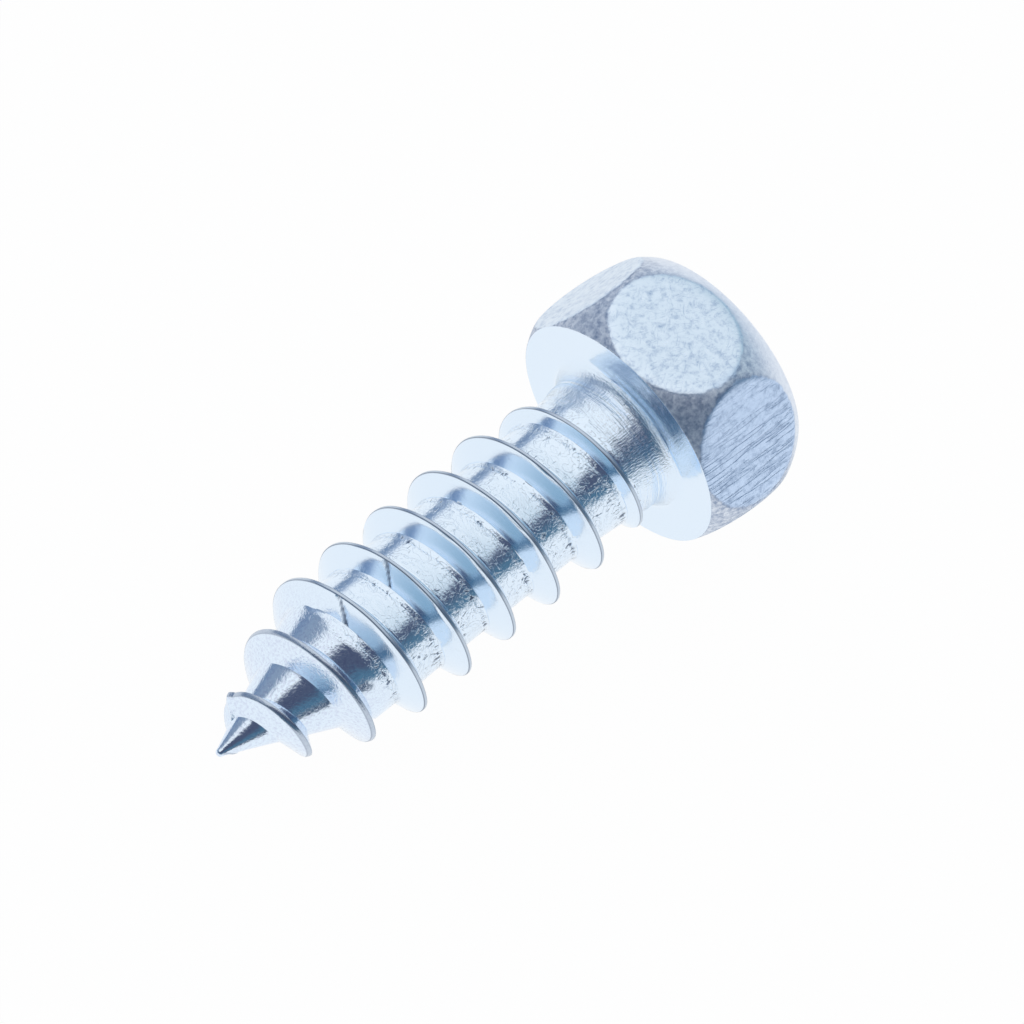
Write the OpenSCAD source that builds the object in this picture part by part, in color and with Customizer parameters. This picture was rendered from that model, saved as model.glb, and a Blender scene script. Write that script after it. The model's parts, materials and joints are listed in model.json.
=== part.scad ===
// Hex head tapping screw with a cone point, cold headed and thread rolled from one piece of wire.
// It lies as it comes to rest, on one flat of the head and one turn of the thread.
// Lengths are in millimetres. The floor is z = 0, and +X runs from the point to the head.

/* [Head] */
// Width across two opposite flats of the hexagon
across_flats = 8; // [7:0.1:10]
// Height of the head above its bearing face
head_height = 4.1; // [3.4:0.1:5.4]
// How far the edge of the bearing face lies inside the flats
bearing_inset = 0.06; // [0.02:0.01:0.3]
// How far the edge of the head's outer end lies inside the flats
end_inset = 0.5; // [0.1:0.05:0.8]
// How far the sharp corners of the hexagon are rounded back at their widest
corner_trim = 0.04; // [0.01:0.01:0.2]

/* [Neck] */
// Diameter of the plain neck under the head
neck_d = 4.6; // [4.3:0.05:4.8]
// Length of the plain neck
neck_length = 0.9; // [0.6:0.05:1.2]
// Radius of the fillet between the neck and the bearing face
neck_fillet = 0.5; // [0.3:0.05:0.6]

/* [Thread] */
// Length from the bearing face to the point
screw_length = 16; // [12:0.5:25]
// Diameter over the thread crests
thread_d = 5.35; // [5.1:0.05:5.8]
// Diameter of the core between the crests
core_d = 4.1; // [3.8:0.05:4.2]
// Distance from one crest to the next
pitch = 1.8; // [1.5:0.05:2.4]
// Angle between the two flanks of the thread, in degrees
thread_angle = 60; // [45:1:60]
// Width of the flat along a crest
crest_width = 0.1; // [0.06:0.02:0.2]
// Step from the plain neck down to the rolled core
rolled_step = 0.1; // [0.02:0.01:0.12]
// Length of rolled core between the neck and the start of the thread
run_out_gap = 0.4; // [0.2:0.1:1]
// Distance over which the thread rises to its full height
run_out_length = 1.6; // [0.8:0.1:2.4]
// Turn of the thread about the axis from the lower flat of the head, in degrees
thread_turn = 317; // [0:1:360]

/* [Point] */
// Angle of the cone point, in degrees
point_angle = 47; // [40:1:55]
// Diameter of the blunt tip
tip_d = 0.24; // [0.16:0.02:0.5]
// Distance over which the thread fades out towards the tip
point_fade = 1.6; // [0.8:0.1:2.4]

/* [Hidden] */
plated_steel = "#c9d6e6";
round_facets = 96;
thread_facets = 60;
hexagon = 6;

flat_r = across_flats / 2;
sharp_corner_r = flat_r / cos(180 / hexagon);
corner_r = sharp_corner_r - corner_trim;
bearing_r = flat_r - bearing_inset;
end_r = flat_r - end_inset;
neck_r = neck_d / 2;
core_r = core_d / 2;
tip_r = tip_d / 2;
thread_height = (thread_d - core_d) / 2;

// The rolled core begins inside the head, so that the two are one piece
rolled_start = -1;
rolled_r = neck_r - rolled_step;
run_out_start = neck_length + run_out_gap;
run_out_end = run_out_start + run_out_length;

// The arc that rounds the six corners, from the bearing face to the end of the head
bearing_drop = corner_r - bearing_r;
end_drop = corner_r - end_r;
arc_a = 1 / bearing_drop - 1 / end_drop;
arc_b = 2 * head_height / end_drop;
arc_c = head_height * head_height / end_drop + end_drop - bearing_drop;
arc_z = 2 * arc_c / (arc_b + sqrt(arc_b * arc_b + 4 * arc_a * arc_c));
arc_x = (corner_r + bearing_r) / 2 - arc_z * arc_z / (2 * bearing_drop);
arc_r = corner_r - arc_x;
// A plain core fills the head inside the arc
head_core_r = 0.9 * min(bearing_r, end_r);

// Share of the way from one value to another, held between 0 and 1
function share(value, from, to) = min(1, max(0, (value - from) / (to - from)));

// Radius of the core at a distance below the bearing face
function core_at(depth) =
    let (rolled = rolled_r + (core_r - rolled_r) * share(depth, run_out_start, run_out_end))
    min(rolled, tip_r + (screw_length - depth) * tan(point_angle / 2));

// Height of the thread above its core at a distance below the bearing face
function ridge_at(depth) =
    thread_height
    * share(depth, run_out_start, run_out_end)
    * share(screw_length - depth, 0, point_fade);

// Distance below the bearing face of the crest at an angle about the axis, one for each turn
turns = ceil((screw_length - rolled_start) / pitch) + 3;
function crest_depth(angle, turn) = rolled_start + pitch * (turn - (angle + thread_turn) / 360);

// Section of the thread at an angle: the foot and crest of both flanks, for each turn from head to tip
function section_at(angle) = [
    for (turn = [0 : turns - 1])
        let (crest = crest_depth(angle, turn))
        let (flank = ridge_at(crest) * tan(thread_angle / 2))
        for (side = [-1, -0.5, 0.5, 1])
            let (on_crest = abs(side) < 1)
            let (offset = on_crest ? side * crest_width : side * (crest_width / 2 + flank))
            let (depth = min(screw_length, max(rolled_start, crest + offset)))
            [core_at(depth) + (on_crest ? ridge_at(crest) : 0), depth]
];

// Rest on the floor: the head touches where its lower flat begins, the thread at its lowest crest
flat_start = arc_z - sqrt(arc_r * arc_r - (flat_r - arc_x) * (flat_r - arc_x));
rest_slope = min([
    for (p = section_at(0))
        if (p[1] > run_out_end)
            (flat_r - p[0]) / (p[1] + flat_start)
]);
rest_tilt = atan(rest_slope);
rest_height = flat_r * cos(rest_tilt) - flat_start * sin(rest_tilt);
rest_reach_head = head_height * cos(rest_tilt) + end_r * sin(rest_tilt);
rest_reach_tip = screw_length * cos(rest_tilt) + tip_r * sin(rest_tilt);

// Hexagon whose corners are rounded off by an arc swept about the axis
module head() {
    intersection() {
        linear_extrude(head_height)
            rotate(180 / hexagon)
            circle(r = sharp_corner_r, $fn = hexagon);
        rotate_extrude($fn = round_facets) {
            square([head_core_r, head_height]);
            intersection() {
                translate([arc_x, arc_z])
                    circle(r = arc_r, $fn = round_facets);
                square([corner_r, head_height]);
            }
        }
    }
}

// Plain neck with a fillet where it meets the bearing face
module neck() {
    rotate_extrude($fn = round_facets) {
        translate([0, -neck_length])
            square([neck_r, neck_length + neck_fillet]);
        difference() {
            translate([0, -neck_fillet])
                square([neck_r + neck_fillet, 2 * neck_fillet]);
            translate([neck_r + neck_fillet, -neck_fillet])
                circle(r = neck_fillet, $fn = round_facets);
        }
    }
}

// Rolled core and thread down to the tip, as sections set side by side about the axis
module rolled_thread() {
    per_turn = 4;
    count = turns * per_turn;
    step = 360 / thread_facets;
    sections = [for (i = [0 : thread_facets - 1]) section_at(i * step)];
    points = [
        for (i = [0 : thread_facets - 1])
            for (p = sections[i])
                [p[0] * cos(i * step), p[0] * sin(i * step), -p[1]]
    ];
    // The points of a section that lie on either end of the body count as one
    first = [for (s = sections) len([for (p = s) if (p[1] <= rolled_start) p]) - 1];
    last = [for (s = sections) count - len([for (p = s) if (p[1] >= screw_length) p])];
    // After a full turn the first section comes again, one turn along the thread
    function index(i, k) =
        let (column = i % thread_facets)
        let (row = i < thread_facets ? k : k - per_turn)
        column * count + min(last[column], max(first[column], row));
    sides = [
        for (i = [0 : thread_facets - 1])
            for (k = [0 : count - 2])
                let (a = index(i, k), b = index(i + 1, k))
                let (c = index(i + 1, k + 1), d = index(i, k + 1))
                for (face = [[a, b, d], [b, c, d]])
                    if (face[0] != face[1] && face[1] != face[2] && face[2] != face[0])
                        face
    ];
    head_end = [for (i = [thread_facets - 1 : -1 : 0]) index(i, 0)];
    tip_end = [for (i = [0 : thread_facets - 1]) index(i, count - 1)];
    polyhedron(points, concat(sides, [head_end, tip_end]), convexity = 10);
}

module screw() {
    color(plated_steel)
        translate([(rest_reach_tip - rest_reach_head) / 2, 0, rest_height])
        rotate([0, 90 - rest_tilt, 0]) {
            head();
            neck();
            rolled_thread();
        }
}

screw();
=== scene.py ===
import json
import math

import bmesh
import bpy
from bpy.props import FloatProperty, FloatVectorProperty, PointerProperty, StringProperty
from mathutils import Matrix, Vector, noise


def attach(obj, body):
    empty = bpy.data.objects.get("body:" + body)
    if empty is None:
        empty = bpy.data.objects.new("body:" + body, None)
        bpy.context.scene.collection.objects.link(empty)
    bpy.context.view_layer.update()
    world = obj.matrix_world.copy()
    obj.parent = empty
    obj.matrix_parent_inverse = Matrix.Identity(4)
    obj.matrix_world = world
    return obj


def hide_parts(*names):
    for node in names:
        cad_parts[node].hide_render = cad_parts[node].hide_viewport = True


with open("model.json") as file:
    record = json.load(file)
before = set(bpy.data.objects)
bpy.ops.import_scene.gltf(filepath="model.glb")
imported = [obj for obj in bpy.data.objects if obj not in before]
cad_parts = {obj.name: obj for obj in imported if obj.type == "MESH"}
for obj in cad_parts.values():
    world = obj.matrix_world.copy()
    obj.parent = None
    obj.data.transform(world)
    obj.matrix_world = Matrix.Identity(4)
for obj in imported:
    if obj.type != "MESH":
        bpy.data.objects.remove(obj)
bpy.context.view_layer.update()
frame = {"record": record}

bl_info = {
    "name": "Hex Head Tapping Screw",
    "version": (1, 0, 0),
    "blender": (4, 5, 0),
    "location": "3D View > Sidebar > Screw",
    "description": "Builds a zinc plated hex head tapping screw and a white light tent around it",
    "category": "Add Mesh",
}

# Lengths are in metres
MM = 0.001

# Columns of points round the axis: a multiple of 12, so that corners and flats fall on columns
COLUMNS = 288
ANGLES = [2 * math.pi * i / COLUMNS for i in range(COLUMNS)]
CORNERS = 6
JOIN_DISTANCE = 0.0001 * MM
SHARP_EDGE = math.radians(30.0)

# Zones of the surface, in the order of the material slots
HEAD, BEARING, NECK, THREAD = range(4)

# Rounded edges of the head's outer end and of its bearing face
END_EDGE = 0.14 * MM
RIM_EDGE = 0.025 * MM
# Least distance of a flat from the bearing face
LEAST_GAP = 0.1 * MM

# The flat that the trimming die dragged along: its direction, and the cosines at its fading edge
DRAGGED_FLAT = math.radians(240.0)
DRAGGED_EDGE = (0.82, 0.9)
# The grooves on that flat begin at the first direction and are deepest from the second
GROOVED = (math.radians(208.0), math.radians(244.0))

# Edge that the heading die left on the neck: depth below the fillet and share of the collar's step
COLLAR_EDGE = ((0.03 * MM, 0.0), (0.05 * MM, 0.2), (0.07 * MM, 0.9), (0.09 * MM, 1.0))
# Depth below the fillet at which the rows that follow the helix begin
COLLAR_END = 0.12 * MM
# How far the brushed look reaches past the neck, and how far it stays from the first turn
BRUSHED_REACH = 0.4 * MM
BRUSHED_GAP = 0.3 * MM

# The shank is off centre down to the first depth and true from the second
OFF_CENTRE_DEPTHS = (1.0 * MM, 8.0 * MM)
# The point begins to bend at the first distance from the tip and is fully bent at the second
BEND_DISTANCES = (6.0 * MM, 1.0 * MM)

# Turns are counted from a depth inside the head, with a few to spare past the tip
HELIX_START = -1.0 * MM
SPARE_TURNS = 3
# Distance from the tip at which the thread ends
THREAD_END = 0.3 * MM
LEAST_FLANK = 0.04 * MM
# Depths between which the crest gets wider, and between which its edges get less dull
WIDER_CREST = (10.0 * MM, 13.5 * MM)
CLEANER_CREST = (10.5 * MM, 13.0 * MM)

# Waves in the height of the crest, and the height of the thread from which they are full
CREST_WAVE = 0.02 * MM
WAVING_RIDGE = 0.3 * MM
# How many times the noise of the waves changes in a millimetre of depth or a radian of turn
WAVE_RATE = 2.5
# The lip comes and goes by noise of its own: its rate beside that of the waves, and where it is read
LIP_RATE = 1.7
LIP_SPOT = Vector((5, 1, 2))
# Heights of the thread between which the lip grows
LIP_RIDGES = (0.1 * MM, 0.4 * MM)
# The surface has no folds up to the first distance from the tip, and all of them from the second
FOLD_DISTANCES = (4.4 * MM, 5.4 * MM)
# How much more the surface is folded on its worst side, and how narrow that side is
FOLD_EXTRA = 1.4
FOLD_FOCUS = 8

# Nicks in the flank that faces the point: the turn, then the angle and the half width, in degrees,
# at the crest and at the foot of the flank
FLANK_NICKS = ((7, 168.0, 1.9, 180.0, 1.3), (8, 166.5, 1.0, 182.0, 2.8))
NICK_DEPTH = 0.05 * MM

# Corner that the end of rolling left on the last turn: turn, then angle and half width in degrees
LAST_CORNER = (10, 120.0, 12.0)
CORNER_HEIGHT = 0.12 * MM

# The rounding of the tip begins a share of its radius before the length, and reaches past the length
ROUND_SHARE = 0.4
ROUND_REACH = 0.1 * MM

# Scratches on the flats: direction in degrees, then width and length of the noise in millimetres.
# They are about 0.015 mm wide, wider than real ones, so that they show
SCRATCHES = ((24.0, 0.1, 1.1), (-36.0, 0.11, 0.8), (71.0, 0.1, 0.9), (-80.0, 0.12, 0.7))

# Settings that many nodes share. A mapping with SIZED takes its scale as the size of a feature
SOFT = {"interpolation_type": "SMOOTHSTEP"}
SIZED = {"vector_type": "TEXTURE"}
BLEND = {"data_type": "RGBA"}
TIMES = {"operation": "MULTIPLY"}
TIMES_PLUS = {"operation": "MULTIPLY_ADD"}

# Share of the card that glows, so that it is white to the camera and keeps a faint shadow
GLOW_SHARE = 0.98
# Sensor in millimetres, and the nearest distance that the camera shows
SENSOR_WIDTH = 36.0
NEAREST = 10.0 * MM


class HeadSizes(bpy.types.PropertyGroup):
    """Sizes of the hexagon head."""

    across_flats: FloatProperty(
        name="Across Flats", description="Width across two opposite flats",
        default=7.88 * MM, unit="LENGTH", precision=5)
    height: FloatProperty(
        name="Height", description="Height of the head above its bearing face",
        default=4.05 * MM, unit="LENGTH", precision=5)
    bearing_inset: FloatProperty(
        name="Bearing Inset", description="How far the edge of the bearing face lies inside the flats",
        default=0.015 * MM, unit="LENGTH", precision=5)
    end_inset: FloatProperty(
        name="End Inset", description="How far the edge of the outer end lies inside the flats",
        default=0.34 * MM, unit="LENGTH", precision=5)
    corner_trim: FloatProperty(
        name="Corner Trim", description="How far the sharp corners are rounded back at their widest",
        default=0.08 * MM, unit="LENGTH", precision=5)
    edge_softness: FloatProperty(
        name="Edge Softness", description="Width over which a flat turns into the rounded corners",
        default=0.06 * MM, unit="LENGTH", precision=5)
    off_centre: FloatProperty(
        name="Off Centre", description="How far the head was formed off the axis of the wire",
        default=0.06 * MM, unit="LENGTH", precision=5)
    off_centre_angle: FloatProperty(
        name="Off Centre Angle", description="Direction in which the head is off centre",
        default=math.radians(-71.8), subtype="ANGLE")


class ShankSizes(bpy.types.PropertyGroup):
    """Sizes of the neck, the thread and the point."""

    length: FloatProperty(
        name="Length", description="Length from the bearing face to the tip, without the tip's rounding",
        default=16.06 * MM, unit="LENGTH", precision=5)
    neck_d: FloatProperty(
        name="Neck Diameter", description="Diameter of the plain neck",
        default=4.6 * MM, unit="LENGTH", precision=5)
    neck_length: FloatProperty(
        name="Neck Length", description="Length of the plain neck",
        default=0.9 * MM, unit="LENGTH", precision=5)
    neck_fillet: FloatProperty(
        name="Neck Fillet", description="Radius between the neck and the bearing face",
        default=0.5 * MM, unit="LENGTH", precision=5)
    collar_step: FloatProperty(
        name="Collar Step", description="Height of the edge that the heading die left on the neck",
        default=0.02 * MM, unit="LENGTH", precision=5)
    thread_d: FloatProperty(
        name="Thread Diameter", description="Diameter over the crests",
        default=5.43 * MM, unit="LENGTH", precision=5)
    core_d: FloatProperty(
        name="Core Diameter", description="Diameter between the crests",
        default=4.1 * MM, unit="LENGTH", precision=5)
    pitch: FloatProperty(
        name="Pitch", description="Distance from one crest to the next",
        default=1.8 * MM, unit="LENGTH", precision=5)
    tip_flank: FloatProperty(
        name="Tip Flank", description="Lean of the flank that faces the point",
        default=math.radians(30.0), subtype="ANGLE")
    head_flank: FloatProperty(
        name="Head Flank", description="Lean of the flank that faces the head",
        default=math.radians(25.0), subtype="ANGLE")
    crest_width: FloatProperty(
        name="Crest Width", description="Width of the flat along a crest",
        default=0.1 * MM, unit="LENGTH", precision=5)
    point_crest: FloatProperty(
        name="Crest Width at the Point", description="Width of the flat along the last crest",
        default=0.14 * MM, unit="LENGTH", precision=5)
    lip_height: FloatProperty(
        name="Lip Height",
        description="Height of the rolled lip at the foot of the flank that faces the point",
        default=0.03 * MM, unit="LENGTH", precision=5)
    fold_side: FloatProperty(
        name="Fold Side", description="Side on which rolling folded the surface most",
        default=math.radians(250.0), subtype="ANGLE")
    rolled_step: FloatProperty(
        name="Rolled Step", description="Step from the neck down to the rolled core",
        default=0.1 * MM, unit="LENGTH", precision=5)
    run_out_gap: FloatProperty(
        name="Run-out Gap", description="Length of rolled core between the neck and the thread",
        default=0.1 * MM, unit="LENGTH", precision=5)
    first_rise: FloatProperty(
        name="First Rise", description="Distance over which the thread rises out of the neck",
        default=0.38 * MM, unit="LENGTH", precision=5)
    first_height: FloatProperty(
        name="First Height",
        description="Height of the thread after its first rise, as a share of its full height",
        default=0.52, subtype="FACTOR")
    run_out_length: FloatProperty(
        name="Run-out Length", description="Distance over which the thread rises to its full height",
        default=1.9 * MM, unit="LENGTH", precision=5)
    thread_turn: FloatProperty(
        name="Thread Turn", description="Turn of the thread about the axis from the lower flat",
        default=math.radians(315.8), subtype="ANGLE")
    point_angle: FloatProperty(
        name="Point Angle", description="Angle of the cone point",
        default=math.radians(47.0), subtype="ANGLE")
    tip_d: FloatProperty(
        name="Tip Diameter", description="Diameter of the blunt tip",
        default=0.24 * MM, unit="LENGTH", precision=5)
    point_fade: FloatProperty(
        name="Point Fade", description="Distance over which the thread fades towards the tip",
        default=1.8 * MM, unit="LENGTH", precision=5)
    point_bend: FloatProperty(
        name="Point Bend", description="How far rolling bent the tip to one side",
        default=0.07 * MM, unit="LENGTH", precision=5)
    bend_angle: FloatProperty(
        name="Bend Angle", description="Direction in which the tip is bent",
        default=math.radians(112.0), subtype="ANGLE")


class PlatingColours(bpy.types.PropertyGroup):
    """Colours of the plating, as sRGB hex values."""

    zinc: StringProperty(
        name="Zinc", description="Bright zinc with a clear blue passivation", default="#E2F0FE")
    scratch: StringProperty(
        name="Scratches", description="Zinc at the bottom of a scratch", default="#A9BEDB")
    forged_light: StringProperty(
        name="Forged, Light", description="High spots of the grainy forged corners", default="#EEF5FF")
    forged_dark: StringProperty(
        name="Forged, Dark", description="Pits of the grainy forged corners", default="#99ABC7")
    crest: StringProperty(
        name="Crest Edge", description="Thin plating along the crest edges", default="#8893A5")
    dragged: StringProperty(
        name="Dragged", description="Flat that the die dragged along", default="#CCE0FB")
    nick: StringProperty(
        name="Nicks", description="Bare bottom of a nick in the thread", default="#6F7D93")
    mottle: StringProperty(
        name="Mottle", description="Grains in the plating of the cone", default="#D6E1F4")


class TentLight(bpy.types.PropertyGroup):
    """The light tent: a bright roof, a dimmer wall, a dark open front and a white floor.

    The roof gets dimmer away from the lamp, and the foot of the wall and one corner of the floor are dark.
    """

    roof: StringProperty(
        name="Roof", description="Lit cloth over the point, near the lamp", default="#FFFFFF")
    roof_far: StringProperty(
        name="Roof, Far", description="Lit cloth beyond the head", default="#A5BFCC")
    far_heading: FloatProperty(
        name="Far Heading", description="Direction in which the roof gets dimmer, from +X",
        default=math.radians(-11.0), subtype="ANGLE")
    front_heading: FloatProperty(
        name="Front Heading", description="Direction of the roof's front edge from +X",
        default=math.radians(-37.4), subtype="ANGLE")
    roof_front: FloatProperty(
        name="Roof Front", description="Angle from straight up to the roof's front edge",
        default=math.radians(23.0), subtype="ANGLE")
    back_heading: FloatProperty(
        name="Back Heading", description="Direction of the roof's back edge from +X",
        default=math.radians(50.0), subtype="ANGLE")
    roof_back: FloatProperty(
        name="Roof Back", description="Angle from straight up to the roof's back edge",
        default=math.radians(43.8), subtype="ANGLE")
    wall: StringProperty(
        name="Wall", description="Lit cloth behind the head", default="#BECADD")
    wall_dim: StringProperty(
        name="Wall, Dim", description="Unlit cloth behind the point", default="#8E9DB1")
    wall_foot: StringProperty(
        name="Wall Foot", description="Dark gap between the wall and the floor", default="#7E92AD")
    front: StringProperty(
        name="Front", description="Dark room seen through the open front", default="#525A71")
    front_low: StringProperty(
        name="Front, Low", description="Lower part of the open front", default="#567A91")
    floor: StringProperty(
        name="Floor", description="White card under the screw", default="#FFFFFF")
    floor_far: StringProperty(
        name="Floor, Far", description="Dim front left corner of the card", default="#43566C")
    floor_size: FloatProperty(
        name="Floor Size", description="Side of the floor", default=2.0, unit="LENGTH")


class ViewAngle(bpy.types.PropertyGroup):
    """Where the camera stands."""

    aim: FloatVectorProperty(
        name="Aim", description="Point in the middle of the picture",
        default=(1.197 * MM, -0.051 * MM, 4.0 * MM), subtype="TRANSLATION", precision=5)
    heading: FloatProperty(
        name="Heading", description="Direction of view from +X",
        default=math.radians(30.49), subtype="ANGLE")
    elevation: FloatProperty(
        name="Elevation", description="How far the camera looks down",
        default=math.radians(55.43), subtype="ANGLE")
    roll: FloatProperty(
        name="Roll", description="Turn of the camera about its line of sight",
        default=math.radians(17.72), subtype="ANGLE")
    distance: FloatProperty(
        name="Distance", description="Distance from the aim point",
        default=171.55 * MM, unit="LENGTH", precision=5)
    lens: FloatProperty(
        name="Lens", description="Focal length in millimetres", default=204.96, unit="CAMERA")


class ScrewSettings(bpy.types.PropertyGroup):
    """All settings of the screw and its stage."""

    head: PointerProperty(name="Head", description="Sizes of the head", type=HeadSizes)
    shank: PointerProperty(name="Shank", description="Sizes of the shank", type=ShankSizes)
    colours: PointerProperty(name="Colours", description="Colours of the plating", type=PlatingColours)
    light: PointerProperty(name="Light", description="Light tent and floor", type=TentLight)
    view: PointerProperty(name="View", description="Place of the camera", type=ViewAngle)


def share(value, start, end):
    """Share of the way from start to end, held between 0 and 1."""
    return min(1.0, max(0.0, (value - start) / (end - start)))


def steps(start, end, count):
    """count values from start to end, both included."""
    return [start + (end - start) * i / (count - 1) for i in range(count)]


def bend(first, corner, last, count):
    """Points of a curve that rounds off a corner between two points, both included."""
    points = []
    for t in steps(0.0, 1.0, count):
        points.append(tuple(
            (1 - t) ** 2 * a + 2 * t * (1 - t) * b + t ** 2 * c for a, b, c in zip(first, corner, last)))
    return points


class HeadShape:
    """The hexagon and the arc, swept about the axis, that rounds its corners."""

    def __init__(self, head):
        self.height = head.height
        self.softness = head.edge_softness
        self.flat_r = head.across_flats / 2
        self.corner_r = self.flat_r / math.cos(math.pi / CORNERS) - head.corner_trim
        self.bearing_r = self.flat_r - head.bearing_inset
        self.end_r = self.flat_r - head.end_inset
        # The arc runs through the edges of both ends and is as wide as the corners between them
        bearing_drop = self.corner_r - self.bearing_r
        end_drop = self.corner_r - self.end_r
        a = 1 / bearing_drop - 1 / end_drop
        b = 2 * self.height / end_drop
        c = self.height ** 2 / end_drop + end_drop - bearing_drop
        self.arc_z = 2 * c / (b + math.sqrt(b * b + 4 * a * c))
        self.arc_x = (self.corner_r + self.bearing_r) / 2 - self.arc_z ** 2 / (2 * bearing_drop)
        self.arc_r = self.corner_r - self.arc_x

    def hexagon(self, angle):
        """Distance from the axis to the flat at an angle."""
        sector = 2 * math.pi / CORNERS
        return self.flat_r / math.cos((angle + sector / 2) % sector - sector / 2)

    def arc(self, z):
        """Radius of the arc at a height above the bearing face."""
        return self.arc_x + math.sqrt(self.arc_r ** 2 - (z - self.arc_z) ** 2)

    def surface(self, angle, z):
        """Radius of the head, with a soft edge where a flat meets the arc."""
        flat, arc = self.hexagon(angle), self.arc(z)
        return (flat + arc - math.hypot(flat - arc, self.softness)) / 2

    def cut(self, angle, z):
        """How deep the flat at an angle was trimmed below the arc."""
        return self.arc(z) - self.hexagon(angle)

    def flat_ends(self, angle):
        """Lowest and highest point of the flat at an angle."""
        least = self.softness / 2
        half = math.sqrt(max(self.arc_r ** 2 - (self.hexagon(angle) - self.arc_x) ** 2, least ** 2))
        return max(self.arc_z - half, LEAST_GAP), self.arc_z + half

    def column(self, angle):
        """Section of the head at an angle, from the axis to the bearing face: (radius, height)."""
        low, high = self.flat_ends(angle)
        # Points lie close together within this distance of both ends of the flat
        soft = min(2 * self.softness, 0.3 * (high - low), 0.3 * (low - RIM_EDGE))
        below = self.height - END_EDGE
        points = [(r, self.height) for r in steps(0.0, self.end_r - END_EDGE, 8)]
        points += bend(points[-1], (self.end_r, self.height), (self.arc(below), below), 6)[1:-1]
        heights = steps(below, high + soft, 11) + [high + soft * s for s in (0.6, 0.25, -0.1, -0.5)]
        heights += steps(high - soft, low + soft, 16) + [low + soft * s for s in (0.5, 0.1, -0.25, -0.6)]
        heights += steps(low - soft, RIM_EDGE, 8)
        points += [(self.surface(angle, z), z) for z in heights]
        points += bend(points[-1], (self.bearing_r, 0.0), (self.bearing_r - RIM_EDGE, 0.0), 5)[1:-1]
        return points


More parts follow.
